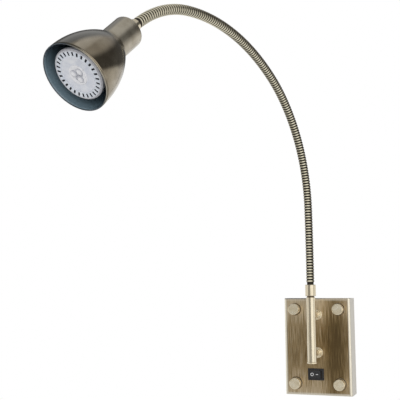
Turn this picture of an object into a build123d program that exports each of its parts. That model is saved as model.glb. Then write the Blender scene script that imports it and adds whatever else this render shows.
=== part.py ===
from build123d import *

import os
from math import cos, radians, sin, tan

# Gooseneck wall lamp: a wall box with a rocker switch, a stem on two posts, a ribbed gooseneck and a head.
# X runs to the right, Y into the wall and Z up. The origin is the centre of the face that lies on the wall.

# Wall box, folded from sheet, open at the back
box_width = 91.0
box_height = 130.0
box_depth = 34.0
box_wall = 1.2
box_side_radius = 3.2
box_end_edge = 0.8

# Wall plate inside the box, with two slots for wall screws and a grommet for the supply cable
plate_gap = 0.4
plate_thickness = 1.5
plate_corner = 4.0
slot_spacing = 60.0
slot_length = 12.0
slot_radius = 2.25
entry_x = 21.0
entry_z = 17.0
grommet_bore = 4.0
grommet_neck = 5.5
grommet_flange = 7.5
grommet_lip = 1.2

# Four studs welded to the wall plate and the flanged cap nuts that hold the box to them
nut_spacing_x = 60.0
nut_spacing_z = 99.4
nut_rise = 0.5
stud_radius = 2.0
stud_reach = 6.8
hole_gap = 0.3
thread_gap = 0.05
nut_foot_radius = 8.5
nut_foot = 1.2
nut_waist_radius = 6.0
nut_waist = 2.3
nut_head_radius = 7.4
nut_head = 10.0
nut_edge = 0.6
nut_bore_depth = 7.6

# Stem tube, carried in front of the box by two hollow posts
stem_standoff = 37.5
stem_radius = 6.0
stem_bore = 5.0
stem_bottom = -17.6
stem_top = 66.6
post_heights = (43.0, -8.0)
post_radius = 4.2
post_bore = 2.6
post_foot_radius = 7.2
post_foot = 1.2
post_spigot = 3.1
post_thread = 4.0
post_tail = 8.5
post_washer_radius = 7.0
post_washer = 0.8
post_nut_flats = 13.0
post_nut = 4.0
plug_radius = 6.5
plug_flange = 2.0
plug_spigot = 6.0
nipple_bore = 3.4
nipple_show = 1.8
nipple_grip = 10.0

# Gooseneck: six lengths of ribbed hose, each on a ball in the cup of the length before
neck_radius = 5.4
neck_root = 4.75
neck_bore = 2.5
neck_length = 594.0
neck_turns = (2.1, 33.2, 28.7, 19.3, 17.7, 25.3)
neck_heading = 11.2
neck_end_straight = 2 * neck_radius
rib_pitch = 3.8
rib_sides = 10
ball_radius = 4.65
cup_gap = 0.4
cup_rim = 1.0
first_rib = 3.6
joint_swing = 26.0
lead_sides = 6
run_turn = 9.0
lead_radius = 1.8
lead_gap = 0.6
lower_ferrule_radius = 7.05
lower_ferrule_grip = 9.0
ferrule_rim = 1.2
lower_ferrule_length = 14.9
cup_angles = (52.0, 26.0, 0.0)
ball_angles = (42.0, 21.0, 0.0)
ferrule_edge = 0.5

# Spot head, measured along its own axis from the last ball towards the mouth
head_heading = 21.3
head_dip = 43.1
upper_ferrule_radius = 5.9
upper_ferrule = 13.0
spigot_radius = 4.9
spigot_length = 10.0
neck_cup_radius = 15.2
neck_cup_length = 30.7
neck_cup_wall = 1.2
neck_cup_edge = 3.2
head_nut_flats = 14.0
head_nut = 3.5
shade_rim_radius = 32.9
shade_length = 53.6
shade_wall = 1.0
shade_shoulder = 0.9
shade_bulge_share = 0.115
shade_collar = 5.2
collar_gap = 0.1
rim_bead = 0.5
lamp_recess = 4.3

# Spot lamp with a two-pin base
lamp_radius = 24.6
lamp_length = 46.5
lamp_rim = 4.0
lamp_neck_radius = 15.0
lamp_neck_at = 17.0
lamp_base_radius = 8.6
lamp_base = 8.0
lamp_fins = 12
lamp_fin_thickness = 1.6
face_thickness = 1.6
lens_radius = 17.5
lens_thickness = 1.2
slot_count = 28
face_slot_length = 4.2
face_slot_width = 1.1
face_slot_place = 21.2
optic_radius = 4.6
optic_place = 4.4
optic_height = 1.5
pin_spacing = 10.0
pin_radius = 1.5
pin_head_radius = 2.5
pin_head = 2.4
pin_length = 7.0
lock_turn = 25.0

# Lampholder, on a bridge under the head nut
holder_radius = 12.4
holder_length = 21.0
holder_face = 3.0
holder_chamber = 5.2
holder_chamber_radius = 8.6
holder_hub = 2.0
holder_post = 3.0
bridge_width = 13.0
bridge_thickness = 1.0
bridge_span = 20.0
bridge_foot = 6.0
bridge_screw_radius = 1.25
bridge_screw_head = 2.2
bridge_screw_head_height = 1.3
bridge_screw_length = 5.0

# Rocker switch, snapped into the front of the box
switch_x = -3.0
switch_z = -37.2
bezel_width = 21.6
bezel_height = 15.6
bezel_thickness = 1.9
bezel_edge = 0.5
switch_body_width = 19.0
switch_body_height = 12.8
switch_body_depth = 13.0
panel_gap = 0.15
window_width = 15.8
window_height = 10.8
window_depth = 9.6
rocker_gap = 0.3
rocker_crest = 3.2
rocker_valley = 1.2
rocker_skirt = 3.2
rocker_pivot_depth = 1.2
rocker_throw = 12.0
rocker_pin_radius = 1.0
rocker_pin_reach = 0.9
tab_width = 4.8
tab_thickness = 0.8
tab_length = 7.0
tab_spacing = 7.0

# Supply terminals on the wall plate
block_x = -22.0
block_z = 16.0
block_width = 26.0
block_depth = 12.0
block_height = 16.0
block_poles = 3
block_foot = 3.0
pole_radius = 1.9
pole_screw_radius = 1.6
pole_screw_reach = 4.0
pole_slot = 0.6
earth_x = 24.0
earth_z = -18.0
earth_radius = 2.0
earth_head_radius = 3.6
earth_head = 2.2
wire_radius = 1.0
wire_bend = 3.0
wire_step = 7.2
cut_over = 1.0

# Places that follow from the sizes above
outwards = Plane.XZ.location
stem_out = box_depth + stem_standoff
ferrule_bottom = stem_top + nipple_show
neck_base = ferrule_bottom + lower_ferrule_length + ferrule_rim
section_length = neck_length / len(neck_turns)
nut_places = [
    (side * nut_spacing_x / 2, nut_rise + level * nut_spacing_z / 2)
    for side in (-1, 1)
    for level in (-1, 1)
]


def cylinder(radius, start, end, bore=0):
    """A cylinder, or a tube, about local Z from one height to another."""
    body = Pos(0, 0, start) * Cylinder(radius, end - start, align=(Align.CENTER, Align.CENTER, Align.MIN))
    if bore:
        body -= Pos(0, 0, start) * Cylinder(bore, end - start, align=(Align.CENTER, Align.CENTER, Align.MIN))
    return body


def cone(start_radius, end_radius, start, end):
    """A cone about local Z from one height to another."""
    shape = Cone(start_radius, end_radius, end - start, align=(Align.CENTER, Align.CENTER, Align.MIN))
    return Pos(0, 0, start) * shape


def block(x, y, start, end):
    """A box about local Z from one height to another."""
    return Pos(0, 0, start) * Box(x, y, end - start, align=(Align.CENTER, Align.CENTER, Align.MIN))


def turned(points):
    """A solid turned about local Z from an outline of radius and height."""
    outline = Polyline(*[(radius, 0, height) for radius, height in points], close=True)
    return revolve(make_face(outline), Axis.Z)


def hex_nut(flats, start, end, bore):
    """A hexagon nut about local Z."""
    corner = flats / 2 / sin(radians(60))
    body = Pos(0, 0, start) * extrude(RegularPolygon(corner, 6), end - start)
    return body - cylinder(bore, start, end)


def box_profile(inset):
    """The box's section across its height, rounded along its two front corners."""
    width = box_width - 2 * inset
    depth = box_depth - inset
    radius = box_side_radius - inset
    with BuildSketch(Plane.XY) as profile:
        with Locations((0, -depth / 2)):
            Rectangle(width, depth)
        fillet(profile.vertices().group_by(Axis.Y)[0], radius)
    return profile.sketch


def wall_box():
    body = extrude(box_profile(0), box_height / 2, both=True)
    front = body.faces().sort_by(Axis.Y)[0]
    body = chamfer(front.edges().filter_by(Axis.X), box_end_edge)
    hollow = extrude(box_profile(box_wall), box_height / 2 - box_wall, both=True)
    mouth = block(box_width - 2 * box_wall, box_height - 2 * box_wall, -cut_over, cut_over)
    body -= hollow
    body -= outwards * mouth
    front_start = box_depth - box_wall - cut_over
    front_end = box_depth + cut_over
    for x, z in nut_places:
        body -= outwards * Pos(x, z, 0) * cylinder(stud_radius + hole_gap, front_start, front_end)
    for z in post_heights:
        body -= outwards * Pos(0, z, 0) * cylinder(post_thread + hole_gap, front_start, front_end)
    cut = block(
        switch_body_width + 2 * panel_gap,
        switch_body_height + 2 * panel_gap,
        front_start,
        front_end,
    )
    body -= outwards * Pos(switch_x, switch_z, 0) * cut
    return body


def wall_plate():
    width = box_width - 2 * (box_wall + plate_gap)
    height = box_height - 2 * (box_wall + plate_gap)
    body = extrude(RectangleRounded(width, height, plate_corner), plate_thickness)
    for side in (-1, 1):
        slot = extrude(SlotOverall(slot_length, 2 * slot_radius), plate_thickness)
        body -= Pos(side * slot_spacing / 2, 0, 0) * slot
    for x, z in nut_places:
        body += Pos(x, z, 0) * cylinder(stud_radius, 0, box_depth + stud_reach)
    body -= Pos(entry_x, entry_z, 0) * cylinder(grommet_neck + thread_gap, 0, plate_thickness)
    body -= Pos(block_x, block_z, 0) * cylinder(earth_radius + thread_gap, 0, plate_thickness)
    body -= Pos(earth_x, earth_z, 0) * cylinder(earth_radius + thread_gap, 0, plate_thickness)
    return outwards * body


def cap_nuts():
    foot = box_depth + nut_foot
    waist = foot + nut_waist
    face = waist + nut_head
    outline = [
        (0, box_depth + nut_bore_depth),
        (stud_radius + thread_gap, box_depth + nut_bore_depth),
        (stud_radius + thread_gap, box_depth),
        (nut_foot_radius, box_depth),
        (nut_foot_radius, foot),
        (nut_waist_radius, waist),
        (nut_head_radius, waist),
        (nut_head_radius, face - nut_edge),
        (nut_head_radius - nut_edge, face),
        (0, face),
    ]
    nut = turned(outline)
    return [outwards * Pos(x, z, 0) * nut for x, z in nut_places]


def stem_posts():
    """Each post has a threaded tail in the box, a foot on its front and a spigot in the tube's wall."""
    reach = stem_out - stem_bore
    shoulder = stem_out - stem_radius
    tail = box_depth - box_wall - post_tail
    outline = [
        (post_bore, tail),
        (post_thread, tail),
        (post_thread, box_depth),
        (post_foot_radius, box_depth),
        (post_foot_radius, box_depth + post_foot),
        (post_radius, box_depth + post_foot),
        (post_radius, shoulder + post_radius),
        (post_bore, shoulder + post_radius),
    ]
    shaft = turned(outline)
    shaft -= Pos(0, 0, stem_out) * Rot(X=90) * Cylinder(stem_radius + thread_gap, 4 * stem_radius)
    spigot = cylinder(post_spigot, shoulder - post_foot, reach, bore=post_bore)
    post = shaft + spigot
    return [outwards * Pos(0, z, 0) * post for z in post_heights]


def post_washers():
    inner = box_depth - box_wall
    ring = cylinder(post_washer_radius, inner - post_washer, inner, bore=post_thread + hole_gap)
    return [outwards * Pos(0, z, 0) * ring for z in post_heights]


def post_nuts():
    inner = box_depth - box_wall - post_washer
    nut = Rot(X=180) * hex_nut(post_nut_flats, 0, post_nut, post_thread + thread_gap)
    return [outwards * Pos(0, z, inner) * nut for z in post_heights]


def stem_tube():
    tube = cylinder(stem_radius, stem_bottom, stem_top, bore=stem_bore)
    for z in post_heights:
        hole = cylinder(post_spigot + thread_gap, 0, 2 * stem_radius)
        tube -= Pos(0, 0, z) * Rot(X=-90) * hole
    return Pos(0, -stem_out, 0) * tube


def stem_end_plug():
    outline = [
        (0, stem_bottom - plug_flange),
        (plug_radius - plug_flange / 4, stem_bottom - plug_flange),
        (plug_radius, stem_bottom - plug_flange * 3 / 4),
        (plug_radius, stem_bottom),
        (stem_bore - thread_gap, stem_bottom),
        (stem_bore - thread_gap, stem_bottom + plug_spigot),
        (0, stem_bottom + plug_spigot),
    ]
    return Pos(0, -stem_out, 0) * turned(outline)


def stem_nipple():
    body = cylinder(
        stem_bore - thread_gap,
        stem_top - nipple_grip,
        ferrule_bottom + lower_ferrule_grip,
        bore=nipple_bore,
    )
    return Pos(0, -stem_out, 0) * body


def seat(radius, angle):
    """Radius and height of a point on a ball about the origin, at an angle below its equator."""
    return radius * cos(radians(angle)), -radius * sin(radians(angle))


def socket(radius, depth, hole):
    """What is cut from a ferrule along local Z: the bore, a cup about the origin and its flared mouth."""
    cup = [seat(ball_radius + cup_gap, angle) for angle in cup_angles]
    outline = [
        (0, -depth),
        (hole, -depth),
        (hole, cup[0][1]),
        *cup,
        (radius, cut_over),
        (0, cut_over),
    ]
    return turned(outline)


def lower_ferrule():
    top = neck_base - ferrule_rim
    body = cylinder(lower_ferrule_radius, ferrule_bottom, top)
    body = chamfer(body.edges().filter_by(GeomType.CIRCLE), ferrule_edge)
    body -= cylinder(stem_bore, ferrule_bottom, ferrule_bottom + lower_ferrule_grip)
    body -= Pos(0, 0, neck_base) * socket(lower_ferrule_radius, neck_base - ferrule_bottom, neck_bore)
    return Pos(0, -stem_out, 0) * body


class Section:
    """One length of the gooseneck: a straight lead-in, an arc and a straight end."""

    def __init__(self, start, turn, straight_start, straight_end):
        self.start = start
        self.turn = turn
        self.straight_start = straight_start
        self.arc = section_length - straight_start - straight_end
        self.bend = self.arc / radians(turn)

    def place(self, distance):
        """The place on the section's line at a distance from its start, facing along the line."""
        on_arc = min(max(distance - self.straight_start, 0), self.arc)
        before = distance if distance < self.straight_start else self.straight_start
        after = max(distance - self.straight_start - self.arc, 0)
        angle = self.turn * on_arc / self.arc
        bend = Pos(0, 0, before) * Pos(0, -self.bend, 0) * Rot(X=angle) * Pos(0, self.bend, 0)
        return self.start * bend * Pos(0, 0, after)

    def runs(self, start, end):
        """Distances between which the line is near enough straight."""
        count = 1 + round(self.turn / run_turn)
        found = [self.straight_start + self.arc * i / count for i in range(count + 1)]
        return [start] + [at for at in found if start < at < end] + [end]

    def loft(self, rings, sides):
        """A ruled loft through rings on the line, each given by its distance and its radius."""
        return loft([self.place(at) * RegularPolygon(radius, sides) for at, radius in rings], ruled=True)


neck_plane = Plane(
    origin=(0, -stem_out, neck_base),
    x_dir=Vector(1, 0, 0).rotate(Axis.Z, -neck_heading),
    z_dir=(0, 0, 1),
)


def neck_sections():
    """The six sections, each starting where the one before it ends."""
    found = []
    start = neck_plane.location
    for i, turn in enumerate(neck_turns):
        first = neck_end_straight if i == 0 else 0
        last = neck_end_straight if i == len(neck_turns) - 1 else 0
        section = Section(start, turn, first, last)
        found.append(section)
        start = section.place(section_length)
    return found


def neck_section(section, last):
    """A ribbed length with its bore, its first ball, and a cup or on the last length a ball at its end."""
    end_rib = section_length - (first_rib if last else cup_rim)
    count = round((end_rib - first_rib) / rib_pitch)
    pitch = (end_rib - first_rib) / count
    rings = [(height, ring) for ring, height in (seat(ball_radius, angle) for angle in ball_angles)]
    rings.append((first_rib - pitch / 2, neck_root))
    for i in range(count):
        crest = first_rib + i * pitch
        rings += [(crest, neck_radius), (crest + pitch / 2, neck_root)]
    rings.append((end_rib, neck_radius))
    tip_radius, tip = seat(ball_radius, ball_angles[0])
    funnel = neck_bore - tip * tan(radians(joint_swing))
    hollow = [(tip - cut_over, funnel + cut_over / 2), (0, neck_bore)]
    if last:
        rings.append((end_rib + pitch / 2, neck_root))
        rings += [(section_length - height, ring) for height, ring in reversed(rings[: len(ball_angles)])]
        bore_end = section_length
        mouth = [(section_length - tip + cut_over, funnel + cut_over / 2)]
    else:
        cup = [seat(ball_radius + cup_gap, angle) for angle in cup_angles]
        bore_end = section_length + cup[0][1]
        mouth = [(section_length + height, ring) for ring, height in cup]
    hollow += [(at, neck_bore) for at in section.runs(0, bore_end)[1:]]
    return section.loft(rings, rib_sides) - section.loft(hollow + mouth, rib_sides)


def lead(section):
    """The stretch of the lead in one length of the gooseneck."""
    stations = section.runs(lead_gap, section_length - lead_gap)
    return section.loft([(at, lead_radius) for at in stations], lead_sides)


def head_plane():
    """The head's own place: its origin is the last ball's centre and its Z runs out of the mouth."""
    tip = sections[-1].place(section_length).position
    aim = Vector(0, -1, 0).rotate(Axis.Z, -head_heading)
    side = aim.cross(Vector(0, 0, 1)).normalized()
    aim = aim.rotate(Axis((0, 0, 0), side), -head_dip)
    return Plane(origin=tip, x_dir=side, z_dir=aim)


cup_back = upper_ferrule
cup_front = cup_back + neck_cup_length
lamp_face_at = cup_front + shade_length - lamp_recess
lamp_back = lamp_face_at - lamp_length
holder_back = lamp_back - holder_length
nut_start = cup_back + neck_cup_wall + bridge_thickness


def upper_ferrule_body():
    body = cylinder(upper_ferrule_radius, ferrule_rim, cup_back)
    body = chamfer(body.edges().filter_by(GeomType.CIRCLE).sort_by(Axis.Z)[:1], ferrule_edge / 2)
    body += cylinder(spigot_radius, cup_back, cup_back + spigot_length)
    body -= Rot(X=180) * socket(upper_ferrule_radius, cup_back + spigot_length, neck_bore)
    return body


def neck_cup():
    outer = cylinder(neck_cup_radius, cup_back, cup_front)
    outer = fillet(outer.edges().filter_by(GeomType.CIRCLE).sort_by(Axis.Z)[:1], neck_cup_edge)
    floor = cup_back + neck_cup_wall
    inner = cylinder(neck_cup_radius - neck_cup_wall, floor, cup_front + cut_over)
    corner = inner.edges().filter_by(GeomType.CIRCLE).sort_by(Axis.Z)[:1]
    inner = chamfer(corner, neck_cup_edge - neck_cup_wall)
    hole = cylinder(spigot_radius + hole_gap, cup_back - cut_over, floor + neck_cup_wall)
    return outer - inner - hole


def head_nut_body():
    return hex_nut(head_nut_flats, nut_start, nut_start + head_nut, spigot_radius + thread_gap)


def shade_curve(offset):
    """The bowl's arc from its shoulder to its rim, moved inwards by the wall for the inside."""
    start = Vector(neck_cup_radius + shade_shoulder - offset, cup_front + offset)
    end = Vector(shade_rim_radius - offset, cup_front + shade_length)
    chord = end - start
    normal = Vector(chord.Y, -chord.X).normalized()
    middle = (start + end) * 0.5 + normal * chord.length * shade_bulge_share
    return start, middle, end


def shade():
    """A spun bowl with a collar that stands in the neck cup and a rolled rim."""
    collar = neck_cup_radius - neck_cup_wall - collar_gap
    outer = [(point.X, 0, point.Y) for point in shade_curve(0)]
    inner = [(point.X, 0, point.Y) for point in shade_curve(shade_wall)]
    shoulder = outer[0][2]
    rim = cup_front + shade_length
    back = Polyline(
        inner[0],
        (collar - shade_wall, 0, shoulder + shade_wall),
        (collar - shade_wall, 0, shoulder - shade_collar),
        (collar, 0, shoulder - shade_collar),
        (collar, 0, shoulder),
        outer[0],
    )
    front = Polyline(
        outer[2],
        (shade_rim_radius + rim_bead, 0, rim + rim_bead),
        (shade_rim_radius + rim_bead / 2, 0, rim + 2 * rim_bead),
        (shade_rim_radius - shade_wall, 0, rim + 2 * rim_bead),
        inner[2],
    )
    section = make_face([back, ThreePointArc(*outer), front, ThreePointArc(*reversed(inner))])
    return revolve(section, Axis.Z)


def lampholder():
    """A ceramic holder with two curved entry slots and the chamber that the pins' heads turn in."""
    face = lamp_back
    body = cylinder(holder_radius, holder_back, face)
    body = chamfer(body.edges().filter_by(GeomType.CIRCLE), ferrule_edge)
    chamber = cylinder(
        holder_chamber_radius, face - holder_face - holder_chamber, face - holder_face, bore=holder_hub
    )
    body -= chamber
    width = pin_radius + hole_gap
    for side in (0, 180):
        entry = Pos(pin_spacing / 2, 0, 0) * cylinder(
            pin_head_radius + hole_gap, face - holder_face - cut_over, face + cut_over
        )
        body -= Rot(Z=side + lock_turn) * entry
        ring = cylinder(
            pin_spacing / 2 + width,
            face - holder_face - cut_over,
            face + cut_over,
            bore=pin_spacing / 2 - width,
        )
        reach = 2 * pin_spacing
        wedge = extrude(
            make_face(
                Polyline(
                    (0, 0),
                    (reach, 0),
                    (reach, reach * tan(radians(lock_turn))),
                    close=True,
                )
            ),
            face + cut_over,
        )
        body -= Rot(Z=side) * (ring & wedge)
        body -= Rot(Z=side) * Pos(pin_spacing / 2, 0, 0) * cylinder(
            width, face - holder_face - cut_over, face + cut_over
        )
    body -= cylinder(lead_radius + hole_gap, holder_back, holder_back + holder_post)
    for side in (-1, 1):
        hole = cylinder(bridge_screw_radius + thread_gap, holder_back, holder_back + bridge_screw_length)
        body -= Pos(side * bridge_hole_x, 0, 0) * hole
    return body


bridge_hole_x = bridge_span / 2 - bridge_foot / 2 - bridge_thickness / 2


def lampholder_bridge():
    """A bent strap: its base lies in the neck cup under the nut and its two feet carry the holder."""
    base = cup_back + neck_cup_wall
    strap = block(bridge_span, bridge_width, base, base + bridge_thickness)
    for side in (-1, 1):
        leg = block(bridge_thickness, bridge_width, base, holder_back)
        strap += Pos(side * (bridge_span - bridge_thickness) / 2, 0, 0) * leg
        foot = block(bridge_foot, bridge_width, holder_back - bridge_thickness, holder_back)
        strap += Pos(side * (bridge_span - bridge_foot) / 2, 0, 0) * foot
        strap -= Pos(side * bridge_hole_x, 0, 0) * cylinder(
            bridge_screw_radius + hole_gap, holder_back - 2 * bridge_thickness, holder_back + cut_over
        )
    return strap - cylinder(spigot_radius + hole_gap, base - cut_over, base + 2 * bridge_thickness)


def bridge_screws():
    screws = []
    under = holder_back - bridge_thickness
    for side in (-1, 1):
        screw = cylinder(bridge_screw_radius, under, under + bridge_screw_length)
        head = cylinder(bridge_screw_head, under - bridge_screw_head_height, under)
        screws.append(Pos(side * bridge_hole_x, 0, 0) * (screw + head))
    return screws


def lamp_housing():
    """The lamp's cast cup: a two-pin base, a finned cone and the rim that holds the face."""
    rim_back = lamp_face_at - lamp_rim
    neck_at = lamp_back + lamp_neck_at
    outline = [
        (0, lamp_back),
        (lamp_base_radius, lamp_back),
        (lamp_base_radius, lamp_back + lamp_base),
        (lamp_neck_radius, neck_at),
        (lamp_radius - lamp_rim, rim_back),
        (lamp_radius, rim_back),
        (lamp_radius, lamp_face_at - lens_thickness),
        (lamp_radius - lens_thickness, lamp_face_at),
        (lamp_radius - lamp_rim / 2, lamp_face_at),
        (lamp_radius - lamp_rim / 2, lamp_face_at - face_thickness),
        (0, lamp_face_at - face_thickness),
    ]
    body = turned(outline)
    fin_outline = [
        (lamp_base_radius / 2, lamp_back + lamp_base),
        (lamp_base_radius, lamp_back + lamp_base),
        (lamp_neck_radius + lamp_fin_thickness, neck_at),
        (lamp_radius - lamp_rim + lamp_fin_thickness, rim_back),
        (lamp_base_radius / 2, rim_back),
    ]
    fin = extrude(
        make_face(Polyline(*[(r, 0, z) for r, z in fin_outline], close=True)),
        lamp_fin_thickness / 2,
        both=True,
    )
    for i in range(lamp_fins):
        body += Rot(Z=i * 360 / lamp_fins) * fin
    for side in (-1, 1):
        body -= Pos(side * pin_spacing / 2, 0, 0) * cylinder(pin_radius, lamp_back, lamp_back + pin_radius)
    return body


def lamp_face():
    """The ring round the lens, with its air slots."""
    back = lamp_face_at - face_thickness
    ring = cylinder(lamp_radius - lamp_rim / 2 - thread_gap, back, lamp_face_at, bore=lens_radius)
    floor = lamp_face_at - face_thickness / 2
    slot = block(face_slot_length, face_slot_width, floor, lamp_face_at + cut_over)
    cuts = [
        Rot(Z=i * 360 / slot_count) * Pos(face_slot_place, 0, 0) * slot
        for i in range(slot_count)
    ]
    return ring - cuts


def lamp_lens():
    """The clear lens with three small lenses round its middle."""
    back = lamp_face_at - face_thickness
    lens = cylinder(lens_radius - thread_gap, back, back + lens_thickness)
    for i in range(3):
        dome = Pos(optic_place, 0, back + lens_thickness) * cone(
            optic_radius, optic_radius * 3 / 4, 0, optic_height / 2
        )
        lens += Rot(Z=90 + i * 120) * dome
    return lens


def lamp_pins():
    pins = []
    for side in (-1, 1):
        pin = cylinder(pin_radius, lamp_back - pin_length, lamp_back + pin_radius)
        pin += cylinder(pin_head_radius, lamp_back - pin_length, lamp_back - pin_length + pin_head)
        pins.append(Pos(side * pin_spacing / 2, 0, 0) * pin)
    return pins


def head_lead():
    """The straight end of the lead, from the last ball into the lampholder."""
    lead_end = holder_back + holder_post
    return Pos(0, 0, lead_gap) * extrude(RegularPolygon(lead_radius, lead_sides), lead_end - lead_gap)


rocker_pivot = box_depth + bezel_thickness - rocker_pivot_depth


def switch_body():
    """The switch's case with its bezel, the rocker's window and the bearing holes of its pins."""
    bezel = block(bezel_width, bezel_height, box_depth, box_depth + bezel_thickness)
    bezel = chamfer(bezel.faces().sort_by(Axis.Z)[-1].edges(), bezel_edge)
    case = block(switch_body_width, switch_body_height, box_depth - switch_body_depth, box_depth)
    top = box_depth + bezel_thickness
    body = bezel + case
    body -= block(window_width, window_height, top - window_depth, top + cut_over)
    pins = Cylinder(rocker_pin_radius + thread_gap, window_height + 2 * (rocker_pin_reach + rocker_gap))
    body -= Pos(0, 0, rocker_pivot) * Rot(X=90) * pins
    return outwards * Pos(switch_x, switch_z, 0) * body


def switch_rocker():
    """The rocker lies on its left side: two faces that meet in a shallow valley, on two pins."""
    half = window_width / 2 - 2 * rocker_gap
    half_height = window_height / 2 - rocker_gap
    outline = Polyline(
        (-half, rocker_crest),
        (0, rocker_valley),
        (half, rocker_crest),
        (half, -rocker_skirt / 2),
        (half / 2, -rocker_skirt),
        (-half / 2, -rocker_skirt),
        (-half, -rocker_skirt / 2),
        close=True,
    )
    body = extrude(make_face(outline), half_height, both=True)
    body += Cylinder(rocker_pin_radius, 2 * (half_height + rocker_pin_reach))
    tilted = Rot(X=90) * Rot(Z=rocker_throw / 2) * body
    return outwards * Pos(switch_x, switch_z, rocker_pivot) * tilted


def switch_tabs():
    back = box_depth - switch_body_depth
    tab = block(tab_thickness, tab_width, back - tab_length, back)
    return [
        outwards * Pos(switch_x + side * tab_spacing / 2, switch_z, 0) * tab for side in (-1, 1)
    ]


def grommet():
    """A rubber ring in the plate's cable hole, flush with the wall behind."""
    top = plate_thickness + grommet_lip
    body = cylinder(grommet_neck, 0, plate_thickness, bore=grommet_bore)
    body += cylinder(grommet_flange, plate_thickness, top, bore=grommet_bore)
    return outwards * Pos(entry_x, entry_z, 0) * body


pole_pitch = block_width / block_poles


def pole_places():
    return [(i - (block_poles - 1) / 2) * pole_pitch for i in range(block_poles)]


def terminal_block():
    """Three poles side by side on a foot, each with its wire way and its screw shaft."""
    foot = plate_thickness
    top = foot + block_depth
    body = block(block_width, block_height, foot, top)
    for x in pole_places():
        shaft = cylinder(pole_screw_radius + thread_gap, foot + block_depth / 2, top + cut_over)
        body -= Pos(x, 0, 0) * shaft
        way = extrude(Plane.XZ * RegularPolygon(pole_radius, lead_sides), block_height, both=True)
        body -= Pos(x, 0, foot + block_depth / 2) * way
    notch = block(pole_slot, block_height, top - pole_slot, top + cut_over)
    for side in (-1, 1):
        body -= Pos(side * pole_pitch / 2, 0, 0) * notch
    body -= cylinder(earth_radius + thread_gap, foot, foot + block_foot)
    return outwards * Pos(block_x, block_z, 0) * body


def terminal_screws():
    screws = []
    top = plate_thickness + block_depth
    for x in pole_places():
        screw = cylinder(pole_screw_radius, top - pole_screw_reach, top - pole_slot)
        screw -= block(pole_slot, 2 * pole_screw_radius, top - 2 * pole_slot, top)
        screws.append(outwards * Pos(block_x + x, block_z, 0) * screw)
    return screws


def block_screw():
    screw = cylinder(earth_radius, 0, plate_thickness + block_foot)
    return outwards * Pos(block_x, block_z, 0) * screw


def earth_screw():
    top = plate_thickness + earth_head
    screw = cylinder(earth_radius, 0, plate_thickness)
    screw += cylinder(earth_head_radius, plate_thickness, top)
    slot = block(pole_slot, 2 * earth_head_radius, top - earth_head / 2, top)
    return outwards * Pos(earth_x, earth_z, 0) * (screw - slot)


def along_route(points, radius, bends):
    """A wire along straight runs with rounded corners, each corner spread over four short runs."""
    path = FilletPolyline(*points, radius=bends)
    stations = []
    for edge in path.edges():
        shares = (0, 1) if edge.geom_type == GeomType.LINE else (0.25, 0.5, 0.75)
        stations += [edge.location_at(share) for share in shares]
    side = stations[0].x_axis.direction
    profiles = []
    for station in stations:
        along = station.z_axis.direction
        side = (side - along * side.dot(along)).normalized()
        plane = Plane(origin=station.position, x_dir=side, z_dir=along)
        profiles.append(plane * RegularPolygon(radius, lead_sides))
    return loft(profiles, ruled=True)


def stem_lead():
    """The lamp's lead: from the terminals through the lower post and up the stem to the gooseneck."""
    bend = stem_bore - post_bore + lead_radius
    level = post_heights[1]
    start_x = block_x + pole_places()[-1]
    start_z = block_z - block_height / 2
    depth = -(plate_thickness + block_depth / 2)
    points = [
        (start_x, depth, start_z),
        (start_x, depth, level),
        (0, depth, level),
        (0, -stem_out, level),
        (0, -stem_out, neck_base - lead_gap),
    ]
    return along_route(points, lead_radius, bend)


def switch_wires():
    """Two wires, from two poles of the terminals to the switch's tabs."""
    depth = -(plate_thickness + block_depth / 2)
    start_z = block_z - block_height / 2
    back = -(box_depth - switch_body_depth - tab_length)
    ends = [switch_x - tab_spacing / 2, switch_x + tab_spacing / 2]
    starts = [block_x + x for x in pole_places()]
    level = switch_z + wire_step
    routes = [
        [(starts[0], depth, switch_z), (ends[0], depth, switch_z), (ends[0], back, switch_z)],
        [
            (starts[1], depth, level),
            (ends[1], depth, level),
            (ends[1], depth, switch_z),
            (ends[1], back, switch_z),
        ],
    ]
    return [
        along_route([(route[0][0], depth, start_z)] + route, wire_radius, wire_bend)
        for route in routes
    ]


sections = neck_sections()
head = head_plane().location

parts = {
    "wall_plate": wall_plate(),
    "wall_box": wall_box(),
    "cap_nuts": cap_nuts(),
    "stem_posts": stem_posts(),
    "post_washers": post_washers(),
    "post_nuts": post_nuts(),
    "stem_tube": stem_tube(),
    "stem_end_plug": stem_end_plug(),
    "stem_nipple": stem_nipple(),
    "lower_ferrule": lower_ferrule(),
    "upper_ferrule": head * upper_ferrule_body(),
    "neck_cup": head * neck_cup(),
    "head_nut": head * head_nut_body(),
    "shade": head * shade(),
    "lampholder": head * lampholder(),
    "lampholder_bridge": head * lampholder_bridge(),
    "bridge_screws": [head * screw for screw in bridge_screws()],
    "lamp_housing": head * lamp_housing(),
    "lamp_face": head * lamp_face(),
    "lamp_lens": head * lamp_lens(),
    "lamp_pins": [head * pin for pin in lamp_pins()],
    "head_lead": head * head_lead(),
    "switch_body": switch_body(),
    "switch_rocker": switch_rocker(),
    "switch_tabs": switch_tabs(),
    "grommet": grommet(),
    "terminal_block": terminal_block(),
    "terminal_screws": terminal_screws(),
    "block_screw": block_screw(),
    "earth_screw": earth_screw(),
    "stem_lead": stem_lead(),
    "switch_wires": switch_wires(),
}
for number, section in enumerate(sections, start=1):
    parts[f"neck_{number}"] = neck_section(section, last=number == len(sections))
    parts[f"lead_{number}"] = lead(section)

os.makedirs("parts", exist_ok=True)
for name, shape in parts.items():
    solids = shape if isinstance(shape, list) else [shape]
    export_step(Compound(children=[Compound(s.solids()) for s in solids]), f"parts/{name}.step")
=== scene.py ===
"""Gooseneck wall lamp in antique brass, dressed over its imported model.

Lengths are in metres, written as millimetres times mm. The outlines of turned pieces and the hose's table are in
plain millimetres.
"""

import math

import bmesh
import bpy
from mathutils import Matrix, Vector


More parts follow.
